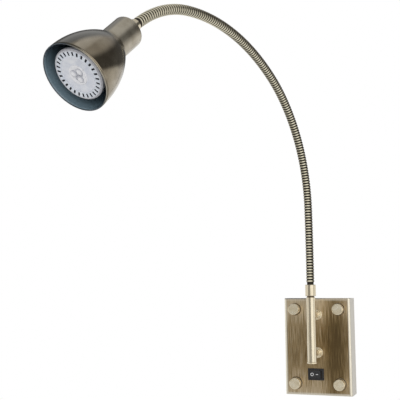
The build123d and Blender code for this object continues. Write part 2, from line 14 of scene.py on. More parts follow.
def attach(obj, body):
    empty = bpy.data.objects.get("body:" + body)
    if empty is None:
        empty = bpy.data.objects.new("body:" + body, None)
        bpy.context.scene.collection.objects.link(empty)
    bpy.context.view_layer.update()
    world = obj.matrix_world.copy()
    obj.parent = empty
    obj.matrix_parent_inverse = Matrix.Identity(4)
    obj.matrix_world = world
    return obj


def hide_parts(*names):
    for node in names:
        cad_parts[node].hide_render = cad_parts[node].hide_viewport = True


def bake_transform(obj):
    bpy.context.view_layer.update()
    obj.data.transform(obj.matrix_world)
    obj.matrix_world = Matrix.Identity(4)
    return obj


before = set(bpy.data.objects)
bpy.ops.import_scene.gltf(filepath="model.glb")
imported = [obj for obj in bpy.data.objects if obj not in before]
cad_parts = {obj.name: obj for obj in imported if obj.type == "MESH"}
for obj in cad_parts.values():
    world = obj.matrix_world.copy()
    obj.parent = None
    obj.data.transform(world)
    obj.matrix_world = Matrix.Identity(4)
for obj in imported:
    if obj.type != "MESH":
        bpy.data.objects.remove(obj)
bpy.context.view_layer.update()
mm = 0.001

# The camera stands low, to the right of the lamp, and looks up a little at the angle of the photograph.
# Its lens and its place were solved from the box's edges, the stem, the hose and the shade's rim.
turn, tip, roll = math.radians(20.4), math.radians(6.94), math.radians(-0.30)
ahead = Vector((-math.sin(turn) * math.cos(tip), math.cos(turn) * math.cos(tip), math.sin(tip)))
right = Vector((math.cos(turn), math.sin(turn), 0))
above = right.cross(ahead)
side_axis = right * math.cos(roll) + above * math.sin(roll)
top_axis = above * math.cos(roll) - right * math.sin(roll)
camera = bpy.data.objects.new("camera", bpy.data.cameras.new("camera"))
camera.data.lens = 67.5
camera.data.sensor_width = 36
camera.data.clip_start = 0.05
camera.matrix_world = Matrix((side_axis, top_axis, -ahead)).transposed().to_4x4()
camera.location = Vector((212.6, -1062.1, 75.4)) * mm
bpy.context.collection.objects.link(camera)
bpy.context.scene.camera = camera


# Studio: a pale room with a darker side behind the camera and a dark band above, which the polished brass reflects.
# The world is white to the camera and through glass, and a plain grey level for matt surfaces; two soft lamps help.
class Tone:
    """A socket in a finish's node tree. Sums and products of tones add Math nodes."""

    def __init__(self, tree, socket=None):
        self.tree, self.socket = tree, socket

    def add(self, kind, settings=None, inputs=None, output=0):
        """Another node: its settings come first, then what its inputs get. Gives one of its outputs."""
        node = self.tree.nodes.new(kind)
        for key, value in (settings or {}).items():
            if key == "stops":
                ramp = node.color_ramp.elements
                for element, (at, colour) in zip((ramp[0], ramp[1]), (value[0], value[-1])):
                    element.position, element.color = at, (*colour, 1)
                for at, colour in value[1:-1]:
                    ramp.new(at).color = (*colour, 1)
            else:
                setattr(node, key, value)
        for key, value in (inputs or {}).items():
            if isinstance(value, Tone):
                self.tree.links.new(value.socket, node.inputs[key])
            else:
                node.inputs[key].default_value = value
        return Tone(self.tree, node.outputs[output])

    def feed(self, node, key):
        """Links this tone to one of a node's inputs."""
        self.tree.links.new(self.socket, node.inputs[key])

    def math(self, operation, *others, clamp=False):
        """A Math node on this tone and others, or on plain numbers."""
        settings = {"operation": operation, "use_clamp": clamp}
        return self.add("ShaderNodeMath", settings, dict(enumerate((self, *others))))

    def __add__(self, other):
        return self.math("ADD", other)

    def __mul__(self, other):
        return self.math("MULTIPLY", other)

    def __sub__(self, other):
        return self.math("SUBTRACT", other)

    def __rsub__(self, other):
        return (self * -1).math("ADD", other)

    __radd__, __rmul__ = __add__, __mul__

    def ramp(self, *stops):
        """A colour that changes with this tone, through stops of a place and a colour."""
        return self.add("ShaderNodeValToRGB", {"stops": stops}, {0: self})

    def step(self, low, high):
        """0 below low and 1 above high, with a smooth change between them."""
        settings = {"interpolation_type": "SMOOTHSTEP"}
        return self.add("ShaderNodeMapRange", settings, {"Value": self, "From Min": low, "From Max": high})

    def mix(self, first, second):
        """The first colour where this tone is 0 and the second where it is 1."""
        first, second = (value if isinstance(value, Tone) else (*value, 1) for value in (first, second))
        return self.add("ShaderNodeMix", {"data_type": "RGBA"}, {0: self, 6: first, 7: second}, output=2)


world = bpy.data.worlds.new("studio")
bpy.context.scene.world = world
world.use_nodes = True
air = Tone(world.node_tree)
rays = ("Is Camera Ray", "Is Glossy Ray", "Is Transmission Ray")
camera_ray, glossy_ray, transmission_ray = (air.add("ShaderNodeLightPath", output=ray) for ray in rays)
seen = camera_ray.math("MAXIMUM", transmission_ray)
towards = air.add("ShaderNodeTexCoord")
deep = air.add("ShaderNodeSeparateXYZ", inputs={0: towards}, output="Y")
high = air.add("ShaderNodeSeparateXYZ", inputs={0: towards}, output="Z")
walls = deep.step(-0.85, 0.05).mix((0.42, 0.415, 0.40), (0.97, 0.965, 0.95))
dark_band, pale_overhead = high.step(0.18, 0.30) * 0.87, high.step(0.62, 0.80) * 0.57
room = (dark_band - pale_overhead).mix(walls, (0.0, 0.0, 0.0))
matt_level = (0.58, 0.58, 0.58)
plain = glossy_ray.mix(matt_level, room)
seen.mix(plain, (1, 1, 1)).feed(world.node_tree.nodes["Background"], "Color")
bpy.context.scene.view_settings.view_transform = "Standard"

lamp_middle = Vector((-0.05, -0.3, 0.15))
for name, place, size, power in (
    ("key", (1.0, -1.46, 0.48), (2.0, 1.5), 9),
    ("fill", (-1.7, -1.2, 0.5), (0.8, 1.2), 1.6),
):
    light = bpy.data.lights.new(name, "AREA")
    light.shape, light.size, light.size_y, light.energy = "RECTANGLE", *size, power
    holder = bpy.data.objects.new(name, light)
    holder.location = place
    holder.rotation_euler = (lamp_middle - Vector(place)).to_track_quat("-Z", "Y").to_euler()
    bpy.context.collection.objects.link(holder)


# Floor: a pale painted sheet below the lamp, which is not part of it.
# It lies out of the photograph's frame and takes the lamp's soft shadow in other views.
def finish(name, colour, metallic=0.0, roughness=0.4, coat=0.0):
    """A material with its plain values, its shader and a tone to start its pattern from."""
    material = bpy.data.materials.new(name)
    material.use_nodes = True
    surface = material.node_tree.nodes["Principled BSDF"]
    surface.inputs["Base Color"].default_value = (*colour, 1)
    surface.inputs["Metallic"].default_value = metallic
    surface.inputs["Roughness"].default_value = roughness
    surface.inputs["Coat Weight"].default_value = coat
    return material, surface, Tone(material.node_tree)


def grain(start, size, stretch=(1, 1, 1), detail=3.0):
    """Noise on object coordinates whose marks are about size long, times their stretch."""
    place = start.add("ShaderNodeTexCoord", output="Object")
    scale = tuple(1 / (size * times) for times in stretch)
    place = place.add("ShaderNodeMapping", inputs={"Vector": place, "Scale": scale})
    return place.add("ShaderNodeTexNoise", inputs={"Vector": place, "Scale": 1.0, "Detail": detail})


def bump(height, surface, depth, strength):
    """Raises the surface by a tone, with a depth in metres for a tone of 1."""
    node = height.add("ShaderNodeBump", inputs={"Strength": strength, "Distance": depth, "Height": height})
    node.feed(surface, "Normal")


floor_paint, surface, start = finish("floor_paint", (0.86, 0.86, 0.86), roughness=0.8)
grain(start, 40 * mm).ramp((0.3, (0.84, 0.84, 0.84)), (0.7, (0.88, 0.88, 0.88))).feed(surface, "Base Color")
floor_reach, floor_middle = 1.2, (-0.05, -0.3, -0.35)
sheet = bmesh.new()
bmesh.ops.create_grid(sheet, x_segments=1, y_segments=1, size=floor_reach)
bmesh.ops.translate(sheet, verts=sheet.verts, vec=floor_middle)
floor = bpy.data.objects.new("floor", bpy.data.meshes.new("floor"))
sheet.to_mesh(floor.data)
floor.data.materials.append(floor_paint)
bpy.context.collection.objects.link(floor)


# Wall box: 1.2 mm sheet folded round, its front brushed from top to bottom and lacquered over dark patina, with
# painted light.
# Its long front edges are rolled and polished bright, with a painted highlight over them; it slips over the wall
# plate and its studs.
box_size = Vector((91, 34, 130)) * mm
box_edge, box_end, box_sheet = 3.2 * mm, 0.8 * mm, 1.2 * mm


def piece(name, mesh, body, slot, *finishes, sharp=32.0, place=None):
    """Closes a bmesh into a named piece on its body: smooth faces, sharp edges, its place in its mesh."""
    if place is not None:
        bmesh.ops.transform(mesh, matrix=place, verts=mesh.verts)
    for face in mesh.faces:
        face.smooth = True
    for edge in mesh.edges:
        edge.smooth = edge.calc_face_angle(0.0) < math.radians(sharp)
    made = bpy.data.objects.new(name, bpy.data.meshes.new(name))
    mesh.to_mesh(made.data)
    mesh.free()
    for material in finishes:
        made.data.materials.append(material)
    bpy.context.collection.objects.link(made)
    if body:
        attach(made, body)
    return made


def thicken(made, thickness, inner=0):
    """Gives a skin its wall, inwards, with another finish inside if it has one."""
    wall = made.modifiers.new("wall", "SOLIDIFY")
    wall.thickness, wall.offset = thickness, -1
    wall.material_offset = inner


def ease(made, width):
    """Breaks a piece's sharp edges, which are those over 35 degrees."""
    edge = made.modifiers.new("edge", "BEVEL")
    edge.width, edge.segments, edge.limit_method = width, 3, "ANGLE"
    edge.angle_limit = math.radians(35)
    edge.harden_normals = True


box_brass, surface, start = finish("box_brass", (0.40, 0.28, 0.14), metallic=1.0, roughness=0.38)
strokes = grain(start, 0.4 * mm, (1, 1, 70), detail=5.0)
bands = grain(start, 7 * mm, (1, 4, 16))
spot = start.add("ShaderNodeTexCoord", output="Object")
across = start.add("ShaderNodeSeparateXYZ", inputs={0: spot})
high = start.add("ShaderNodeSeparateXYZ", inputs={0: spot}, output="Z")
outer = across.math("ABSOLUTE")
# The front is painted paler at the top and the foot and darker to the right: painted light and shade.
painted_light_top, painted_light_foot = high.step(12 * mm, 64 * mm) * 0.50, (high * -1).step(12 * mm, 66 * mm) * 0.36
painted_shade_right = across.step(2 * mm, 22 * mm) * 0.50 - across.step(28 * mm, 40 * mm) * 0.34
patina_and_painted_light = strokes * 3.0 + bands * 0.3 + painted_light_top + painted_light_foot - painted_shade_right - 1.18
tint = patina_and_painted_light.math("ADD", 0.0, clamp=True).ramp(
    (0.0, (0.15, 0.10, 0.045)),
    (0.25, (0.227, 0.159, 0.070)),
    (0.5, (0.395, 0.277, 0.139)),
    (0.72, (0.54, 0.41, 0.24)),
    (1.0, (0.88, 0.74, 0.53)),
)
# Painted highlights run near both ends and over the rolled edges, the sides are painted pale as a reflection, and a
# painted dark line stands in for shade along the top end's left part.
painted_highlight_top, painted_highlight_foot = high.step(60.5 * mm, 63.5 * mm) * 0.75, (high * -1).step(61 * mm, 63.5 * mm) * 0.85
polish_and_highlight_edge, painted_reflection_flank = outer.step(41.0 * mm, 43.2 * mm), outer.step(44.6 * mm, 45.3 * mm)
painted_dark_end = high.step(63.7 * mm, 64.3 * mm) * (1 - across.step(-20 * mm, 35 * mm)) * 0.8
tint = painted_highlight_top.mix(tint, (0.95, 0.86, 0.70))
tint = painted_highlight_foot.mix(tint, (0.98, 0.92, 0.78))
tint = polish_and_highlight_edge.mix(tint, (0.90, 0.84, 0.70))
tint = painted_dark_end.mix(tint, (0.05, 0.04, 0.03))
painted_reflection_flank.mix(tint, (0.52, 0.49, 0.43)).feed(surface, "Base Color")
(strokes * 0.25 + 0.24).feed(surface, "Roughness")
bump(strokes, surface, 0.05 * mm, 0.35)

mesh = bmesh.new()
bmesh.ops.create_cube(mesh, size=1.0)
bmesh.ops.scale(mesh, vec=box_size, verts=mesh.verts)
bmesh.ops.translate(mesh, vec=(0, -box_size.y / 2, 0), verts=mesh.verts)
back = [face for face in mesh.faces if face.normal.y > 0.5]
bmesh.ops.delete(mesh, geom=back, context="FACES_ONLY")
front = [edge for edge in mesh.edges if all(vertex.co.y < -box_size.y / 2 for vertex in edge.verts)]
long_edges = [edge for edge in front if abs(edge.verts[0].co.x - edge.verts[1].co.x) < mm]
bmesh.ops.bevel(mesh, geom=long_edges, offset=box_edge, segments=7, profile=0.5, affect="EDGES", material=-1)
# The front edges of the two ends, without the small ones between the facets of the rolled edges.
roll_start, square_corner = -30 * mm, 1.0
end_edges = [
    edge
    for edge in mesh.edges
    if all(abs(abs(vertex.co.z) - box_size.z / 2) < 1e-6 and vertex.co.y < roll_start for vertex in edge.verts)
    and edge.calc_face_angle(0.0) > square_corner
]
bmesh.ops.bevel(mesh, geom=end_edges, offset=box_end, segments=3, profile=0.5, affect="EDGES", material=-1)
wall_box = piece("wall_box_shell", mesh, "base", "antique_brass", box_brass, sharp=6.0)
thicken(wall_box, box_sheet)
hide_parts("wall_box")

# Wall plate: zinc-plated sheet with its four welded studs, two slots for the wall screws and the cable's hole.
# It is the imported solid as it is, with the milky grain of bright zinc.
zinc, surface, start = finish("bright_zinc", (0.62, 0.63, 0.64), metallic=1.0, roughness=0.38)
flakes = start.add("ShaderNodeTexCoord", output="Object")
flakes = flakes.add("ShaderNodeTexVoronoi", inputs={"Vector": flakes, "Scale": 160.0})
cloud = grain(start, 9 * mm)
(flakes * 6.0 + cloud * 0.5).ramp((0.2, (0.50, 0.52, 0.55)), (0.9, (0.72, 0.72, 0.70))).feed(surface, "Base Color")
(cloud * 0.25 + 0.28).feed(surface, "Roughness")


def keep(material, slot_name, *nodes):
    """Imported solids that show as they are, with a finish of their own."""
    for node in nodes:
        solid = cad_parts[node]
        solid.data.materials.clear()
        solid.data.materials.append(material)


keep(zinc, "zinc_steel", "wall_plate", "post_washers", "post_nuts", "head_nut", "lampholder_bridge", "block_screw")

# Grommet: a soft black rubber ring pressed into the plate's hole, which keeps the edge off the supply cable.
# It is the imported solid, with the grey bloom of moulded rubber.
rubber, surface, start = finish("soft_rubber", (0.035, 0.035, 0.036), roughness=0.62)
bloom = grain(start, 1.2 * mm, detail=4.0)
bloom.ramp((0.3, (0.025, 0.025, 0.026)), (0.8, (0.075, 0.075, 0.074))).feed(surface, "Base Color")
bump(bloom, surface, 0.1 * mm, 0.3)
keep(rubber, "rubber_black", "grommet")

# Supply terminals: a natural white moulded block of three poles, its plated screws, and a brass earth screw.
# The block is moulded in polyamide with a light speckle; its foot is held by one screw into the plate.
block_white, surface, start = finish("terminal_moulding", (0.80, 0.79, 0.74), roughness=0.45)
speckle = grain(start, 0.6 * mm, detail=2.0)
speckle.ramp((0.3, (0.76, 0.75, 0.70)), (0.7, (0.84, 0.83, 0.79))).feed(surface, "Base Color")
bump(speckle, surface, 0.05 * mm, 0.4)
keep(block_white, "terminal_white", "terminal_block")
nickel, surface, start = finish("nickel_plate", (0.72, 0.70, 0.66), metallic=1.0, roughness=0.24)
smear = grain(start, 2 * mm)
smear.ramp((0.3, (0.66, 0.64, 0.60)), (0.7, (0.78, 0.76, 0.72))).feed(surface, "Base Color")
(smear * 0.2 + 0.14).feed(surface, "Roughness")
keep(nickel, "nickel", "terminal_screws", "switch_tabs", "bridge_screws", "lamp_pins")

# Leads: a round black sleeved lead from the terminals up the stem and the hose, and brown switch wires.
# The sleeves are extruded, with a faint drag along their length.
sleeve, surface, start = finish("lead_sleeve", (0.045, 0.045, 0.048), roughness=0.5)
drag = grain(start, 0.8 * mm)
drag.ramp((0.3, (0.03, 0.03, 0.032)), (0.8, (0.08, 0.08, 0.085))).feed(surface, "Base Color")
keep(sleeve, "lead_sleeve", "stem_lead", "head_lead", *[f"lead_{number}" for number in range(1, 7)])
wire_brown, surface, start = finish("wire_sleeve", (0.24, 0.10, 0.04), roughness=0.45)
drag = grain(start, 0.8 * mm)
drag.ramp((0.3, (0.20, 0.08, 0.03)), (0.8, (0.30, 0.13, 0.05))).feed(surface, "Base Color")
keep(wire_brown, "wire_sleeve", "switch_wires")

# Cap nuts: turned from brass bar with a thin flange, a waist and a flat round head, polished and lacquered.
# They screw on the plate's studs and clamp the box between their flanges and the wall plate.
nut_x, nut_z, nut_rise = 30.0 * mm, 49.7 * mm, 0.5 * mm
front_y = -34 * mm
nut_shape = ((0, 0), (8.5, 0), (8.5, 1.2), (6.0, 3.5), (7.4, 3.5), (7.4, 12.9), (6.8, 13.5), (0, 13.5))


def trace(mesh, outline, last=None):
    """Draws an outline of radii and heights, in millimetres, on from a corner where one is given."""
    corners = [last] if last else []
    corners += [mesh.verts.new((radius * mm, 0, height * mm)) for radius, height in outline]
    for pair in zip(corners, corners[1:]):
        mesh.edges.new(pair)
    return corners


def spin_whole(mesh, steps):
    """Spins the outline in a mesh once round Z, into a skin that joins up."""
    outline, upwards = mesh.verts[:] + mesh.edges[:], (0, 0, 1)
    bmesh.ops.spin(mesh, geom=outline, axis=upwards, cent=(0, 0, 0), angle=math.tau, steps=steps, use_merge=True)
    bmesh.ops.remove_doubles(mesh, verts=mesh.verts, dist=1e-7)
    bmesh.ops.recalc_face_normals(mesh, faces=mesh.faces)


def turned(outline, steps=64):
    """A lathe-turned body: an outline of radii and heights, in millimetres, spun about its axis."""
    mesh = bmesh.new()
    corners = trace(mesh, outline)
    if outline[0][0] and outline[-1][0]:
        mesh.edges.new((corners[-1], corners[0]))
    spin_whole(mesh, steps)
    return mesh


outwards = Matrix.Rotation(math.radians(90), 4, "X")
pale_brass, surface, start = finish("pale_brass", (0.85, 0.74, 0.54), metallic=0.75, roughness=0.3)
lathe = grain(start, 0.5 * mm, detail=2.0)
haze = grain(start, 7 * mm, detail=2.0)
polish_and_sheen = (lathe * 0.1 + haze * 0.9).ramp(
    (0.25, (0.78, 0.67, 0.46)), (0.5, (0.92, 0.81, 0.60)), (0.8, (0.99, 0.93, 0.76))
)
spot = start.add("ShaderNodeTexCoord", output="Object")
proud = start.add("ShaderNodeSeparateXYZ", inputs={0: spot}, output="Y")
on_nuts = start.add("ShaderNodeSeparateXYZ", inputs={0: spot}).math("ABSOLUTE").step(15 * mm, 18 * mm)
# The nuts' waists are painted dark brown as shade.
shaded_waist = proud.step(-37.9 * mm, -37.3 * mm) * (1 - proud.step(-35.4 * mm, -35.0 * mm)) * on_nuts
shaded_waist.mix(polish_and_sheen, (0.17, 0.125, 0.07)).feed(surface, "Base Color")
(haze * 0.2 + 0.14).feed(surface, "Roughness")
nut_places = [(x, z) for z in (nut_z, -nut_z) for x in (-nut_x, nut_x)]
for number, (x, z) in enumerate(nut_places, start=1):
    place = Matrix.Translation((x, front_y, z + nut_rise)) @ outwards
    nut = piece(f"cap_nut_{number}", turned(nut_shape), "base", "bright_brass", pale_brass, place=place)
    ease(nut, 0.25 * mm)
    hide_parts("cap_nuts")
keep(pale_brass, "bright_brass", "earth_screw")

# Stem posts: two hollow turned posts with a round foot on the box and a spigot in the stem's wall.
# They screw through the box from the front; the lower one brings the lead into the stem.
stem_y = -71.5 * mm
post_foot = ((4.0, -9.7), (4.0, 0), (7.2, 0), (7.2, 0.9), (6.9, 1.2), (4.2, 1.4))
post_shape = ((2.6, -9.7), *post_foot, (4.2, 34.5), (2.6, 34.5))
post_heights = (43.0, -8.0)
for number, z in enumerate(post_heights, start=1):
    place = Matrix.Translation((0, front_y, z * mm)) @ outwards
    post = piece(f"stem_post_{number}", turned(post_shape), "base", "bright_brass", pale_brass, place=place)
    ease(post, 0.25 * mm)
    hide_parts("stem_posts")

# Stem: a 12 mm brass tube, polished along its length, with a plug below and a threaded nipple above.
# The nipple shows as a dark ring under the swivelling ferrule.
tube_brass, surface, start = finish("tube_brass", (0.74, 0.64, 0.46), metallic=1.0, roughness=0.26)
drawn = grain(start, 0.7 * mm, (1, 1, 40), detail=4.0)
haze = grain(start, 9 * mm, (1, 1, 3), detail=2.0)
tint = (drawn * 0.45 + haze * 0.55).ramp(
    (0.25, (0.56, 0.49, 0.36)), (0.5, (0.70, 0.625, 0.48)), (0.8, (0.80, 0.74, 0.60))
)
tint.feed(surface, "Base Color")
(haze * 0.12 + drawn * 0.06 + 0.07).feed(surface, "Roughness")
upright = Matrix.Translation((0, stem_y, 0))
stem_shape = ((5.0, -17.6), (6.0, -17.6), (6.0, 66.6), (5.0, 66.6))
stem = piece("stem", turned(stem_shape), "base", "bright_brass", tube_brass, place=upright)
ease(stem, 0.2 * mm)
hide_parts("stem_tube")
plug_shape = ((0, -19.6), (6.0, -19.6), (6.5, -19.1), (6.5, -17.7), (4.9, -17.6), (4.9, -11.6), (0, -11.6))
plug = piece("stem_plug", turned(plug_shape), "base", "bright_brass", pale_brass, place=upright)
ease(plug, 0.2 * mm)
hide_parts("stem_end_plug")
dark_brass, surface, start = finish("dark_brass", (0.16, 0.12, 0.08), metallic=1.0, roughness=0.45)
stain = grain(start, 1.5 * mm, detail=4.0)
stain.ramp((0.3, (0.10, 0.075, 0.05)), (0.7, (0.24, 0.18, 0.12))).feed(surface, "Base Color")
keep(dark_brass, "antique_brass", "stem_nipple")

# Lower ferrule: a turned brass sleeve that swivels on the stem's nipple and holds the foot of the hose.
# It carries the whole neck when the lamp is swung to one side.
ferrule_shape = ((4.9, 68.4), (6.75, 68.4), (7.05, 68.8), (7.05, 82.9), (6.7, 83.3), (4.9, 83.3))
ferrule = piece("lower_sleeve", turned(ferrule_shape), "neck_foot", "bright_brass", tube_brass, place=upright)
ease(ferrule, 0.2 * mm)
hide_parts("lower_ferrule")

# Gooseneck: two profiled strips wound into a ribbed hose, 594 mm long, which bends and stays where it is put.
# It shows as one unbroken skin, made in seven pieces.
# Its upper right side is painted dark as shade, up to the last stretch before the head, and a streak beside it is
# painted bright as a highlight.
hose_turns = (2.1, 33.2, 28.7, 19.3, 17.7, 25.3)
hose_length, hose_straight, hose_heading, hose_foot = 594.0, 10.8, 11.2, 84.5
rib_rings, hose_sides = 8, 40
rib_places = (0, 100, 160, 260, 340, 400, 470, 520, 600)
rib_pitches = (3.86, 3.72, 3.62, 3.63, 3.8, 4.0, 4.17, 4.25, 4.1)
hose_crest, hose_root, rib_start, hose_hidden = 5.4, 4.4, 1.7, 1.2
rib_roundness, polish_and_sheen_shift, polish_and_sheen_width = 0.8, 0.9, 1.1
painted_shade_side, painted_shade_until, painted_shade_fade, even_level = Vector((0.775, 0.211, 0.595)), 380, 150, 0.61
stretch = hose_length / len(hose_turns)


def along_stretch(number, distance):
    """From the start of a stretch to a point along it, turned to face along the hose."""
    before = hose_straight if number == 0 else 0.0
    after = hose_straight if number == len(hose_turns) - 1 else 0.0
    arc = stretch - before - after
    angle = math.radians(hose_turns[number])
    share = min(max((distance - before) / arc, 0.0), 1.0)
    bend = Matrix.Translation((0, -arc / angle * mm, 0))
    rise = Matrix.Translation((0, 0, min(distance, before) * mm))
    rest = Matrix.Translation((0, 0, max(distance - before - arc, 0.0) * mm))
    return rise @ bend @ Matrix.Rotation(angle * share, 4, "X") @ bend.inverted() @ rest


joints_at = [Matrix.Translation((0, stem_y, hose_foot * mm)) @ Matrix.Rotation(math.radians(-hose_heading), 4, "Z")]
for number in range(len(hose_turns)):
    joints_at.append(joints_at[-1] @ along_stretch(number, stretch))


def on_hose(distance):
    """The place at a distance along the whole hose, in millimetres, turned to face along it."""
    number = min(int(distance / stretch), len(hose_turns) - 1)
    return joints_at[number] @ along_stretch(number, distance - number * stretch)


hose_brass, surface, start = finish("hose_brass", (0.80, 0.72, 0.56), metallic=0.55, roughness=0.3)
depth = start.add("ShaderNodeAttribute", {"attribute_name": "groove"}, output="Fac")
worn = grain(start, 5 * mm, detail=4.0)
fine = grain(start, 0.5 * mm, detail=2.0)
crest = (worn * 0.7 + fine * 0.3).ramp(
    (0.25, (0.90, 0.81, 0.56)), (0.55, (1.0, 0.93, 0.70)), (0.8, (1.0, 0.96, 0.77))
)
# The side attribute paints light: the upper right side dark as shade, and a streak beside it bright as a highlight,
# less metallic there so the lamps light it.
side = start.add("ShaderNodeAttribute", {"attribute_name": "side"}, output="Fac")
lit = side.step(0.10, 0.40) * 0.6 + 0.4 - side.step(0.52, 0.76) * 0.88
crest = lit.mix((0.10, 0.085, 0.06), crest)
painted_highlight_streak = side.step(0.22, 0.42) - side.step(0.52, 0.68)
(0.6 - painted_highlight_streak * 0.6).feed(surface, "Metallic")
# The grooves and most of each rib's flanks are painted near black as shade; the band left bright on each crest is
# painted sheen.
depth.step(0.06, 0.42).mix(crest, (0.02, 0.015, 0.008)).feed(surface, "Base Color")
(worn * 0.1 + depth * 0.3 + 0.12).feed(surface, "Roughness")

roots = [0.0]
for low, high, pitch, next_pitch in zip(rib_places, rib_places[1:], rib_pitches, rib_pitches[1:]):
    while roots[-1] < high:
        roots.append(roots[-1] + pitch + (next_pitch - pitch) * (roots[-1] - low) / (high - low))
hose_ribs = len(roots) - 1
ribbed = hose_length - 2 * rib_start
roots = [rib_start + root * ribbed / roots[-1] for root in roots]
middles = [(number + 0.5) * stretch for number in range(len(hose_turns))]
cuts = [0] + [sum(root < middle for root in roots) for middle in middles] + [hose_ribs]
bodies = ["neck_foot"] + [f"neck_length_{number}" for number in range(1, 7)] + ["head"]
blend_margin = 4
for number, (first, last) in enumerate(zip(cuts, cuts[1:])):
    mesh = bmesh.new()
    groove = mesh.verts.layers.float.new("groove")
    painted_shade = mesh.verts.layers.float.new("side")
    rings = []
    for rib in range(first, last):
        root, rib_pitch = roots[rib], roots[rib + 1] - roots[rib]
        for ring in range(rib_rings):
            share = ring / rib_rings
            swell = math.sin(math.pi * share) ** rib_roundness
            # Each ring's share of painted sheen, bright on the crest and moving towards one flank along the hose;
            # the rest is painted shade.
            polish_and_sheen = math.sin(math.pi * share ** (1 + polish_and_sheen_shift * rib / hose_ribs)) ** polish_and_sheen_width
            rings.append((root + share * rib_pitch, swell, polish_and_sheen))
    rings.append((roots[last], 0.0, 0.0))
    if number == 0:
        rings.insert(0, (-hose_hidden, 0.0, 0.0))
    if number == len(hose_turns):
        rings.append((hose_length + hose_hidden, 0.0, 0.0))
    loop = bmesh.ops.create_circle(mesh, cap_ends=True, segments=hose_sides, radius=mm)["verts"]
    edges = list({edge for vertex in loop for edge in vertex.link_edges})
    was = Matrix.Identity(4)
    for index, (distance, swell, polish_and_sheen) in enumerate(rings):
        radius = hose_root + (hose_crest - hose_root) * swell
        here = on_hose(distance) @ Matrix.Diagonal((radius, radius, radius, 1))
        if index:
            grown = bmesh.ops.extrude_edge_only(mesh, edges=edges)["geom"]
            loop = [item for item in grown if isinstance(item, bmesh.types.BMVert)]
            grown_edges = [item for item in grown if isinstance(item, bmesh.types.BMEdge)]
            edges = [edge for edge in grown_edges if all(vertex in loop for vertex in edge.verts)]
        bmesh.ops.transform(mesh, matrix=here @ was.inverted(), verts=loop)
        # Each vertex gets its side for the painted light and its share of painted groove shade.
        fade = 1 - min(max(distance - painted_shade_until, 0) / painted_shade_fade, 1)
        for vertex in loop:
            spoke = (vertex.co - here.translation).normalized()
            vertex[painted_shade] = even_level + (0.5 - even_level + 0.5 * spoke.dot(painted_shade_side)) * fade
            vertex[groove] = 1 - polish_and_sheen
        was = here
    bmesh.ops.contextual_create(mesh, geom=edges)
    bmesh.ops.recalc_face_normals(mesh, faces=mesh.faces)
    hose = piece(f"hose_{number + 1}", mesh, None, "bright_brass", hose_brass, sharp=50.0)
    low_end = rings[0][0] + blend_margin if number else 0.0
    high_end = rings[-1][0] - blend_margin if number < len(hose_turns) else hose_length
    bodies[number + 1]
    on_hose(low_end).translation
    on_hose(high_end).translation
    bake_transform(hose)
    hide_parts(f"neck_{min(number + 1, 6)}")

# Spot head: the neck cup, the shade and the lamp share one axis, which starts at the hose's end.
# The upper ferrule screws through the cup's back and is held by a nut inside.
head_aim = Vector((-0.26525, -0.68029, -0.68327)).normalized()
head_left = Vector((head_aim.y, -head_aim.x, 0)).normalized()
head_down = head_aim.cross(head_left)
head_at = joints_at[-1].translation
head = Matrix.Translation(head_at) @ Matrix((head_left, head_down, head_aim)).transposed().to_4x4()
upper_shape = ((4.9, 1.2), (5.5, 1.2), (5.9, 1.6), (5.9, 12.7), (5.7, 13.0), (4.9, 13.0))
upper = piece("upper_sleeve", turned(upper_shape), "head", "bright_brass", tube_brass, place=head)
ease(upper, 0.15 * mm)
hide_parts("upper_ferrule")

# Neck cup: a drawn cup in polished dark bronze with a rounded back, which hides the lampholder.
# Its back is paler, and a painted dark reflection runs as a band along the top of the cup and of the shade, which
# has the same finish.
cup_radius, cup_back, cup_end, cup_round, cup_wall = 15.2, 13.0, 43.7, 3.2, 1.2
bronze, surface, start = finish("dark_bronze", (0.22, 0.19, 0.145), metallic=1.0, roughness=0.22, coat=0.3)


def on_head(tone, axis):
    """How far a point lies along one of the head's own axes, in metres, from the hose's end."""
    spot = tone.add("ShaderNodeTexCoord", output="Object")
    away = spot.add("ShaderNodeVectorMath", {"operation": "SUBTRACT"}, {0: spot, 1: tuple(head_at)})
    return away.add("ShaderNodeVectorMath", {"operation": "DOT_PRODUCT"}, {0: away, 1: tuple(axis)}, output="Value")


patches = grain(start, 12 * mm, detail=2.0)
fine = grain(start, 1.2 * mm, detail=4.0)
along, before = on_head(start, head_aim), on_head(start, head_aim) * -1
rightwards, upwards = on_head(start, head_left) * -1, on_head(start, head_down) * -1
sine = rightwards.math("DIVIDE", (rightwards * rightwards + upwards * upwards).math("SQRT"))
upper_half, bowl_part = upwards.step(0, 5 * mm), along.step(44 * mm, 50 * mm)
tint = (patches * 0.8 + fine * 0.2 + before.step(-46 * mm, -40 * mm) * 0.35).ramp(
    (0.3, (0.17, 0.14, 0.098)), (0.55, (0.29, 0.25, 0.185)), (0.95, (0.48, 0.44, 0.36))
)
# Painted light: a pale painted reflection on the shade's upper side, and darker painted shade on the right flanks
# of the shade and of the cup.
painted_reflection_patch = sine.step(0.56, 0.62) * (1 - sine.step(0.78, 0.84)) * along.step(62 * mm, 74 * mm) * upper_half * 0.6
painted_dark_flank, painted_shade_cup_flank = sine.step(0.70, 0.85) * bowl_part * upper_half * 0.38, sine.step(0.90, 1.0) * 0.4
tint = painted_reflection_patch.mix(tint, (0.46, 0.41, 0.33))
tint = painted_dark_flank.mix(tint, (0.19, 0.15, 0.10))
tint = (painted_shade_cup_flank * (1 - bowl_part)).mix(tint, (0.13, 0.11, 0.08))
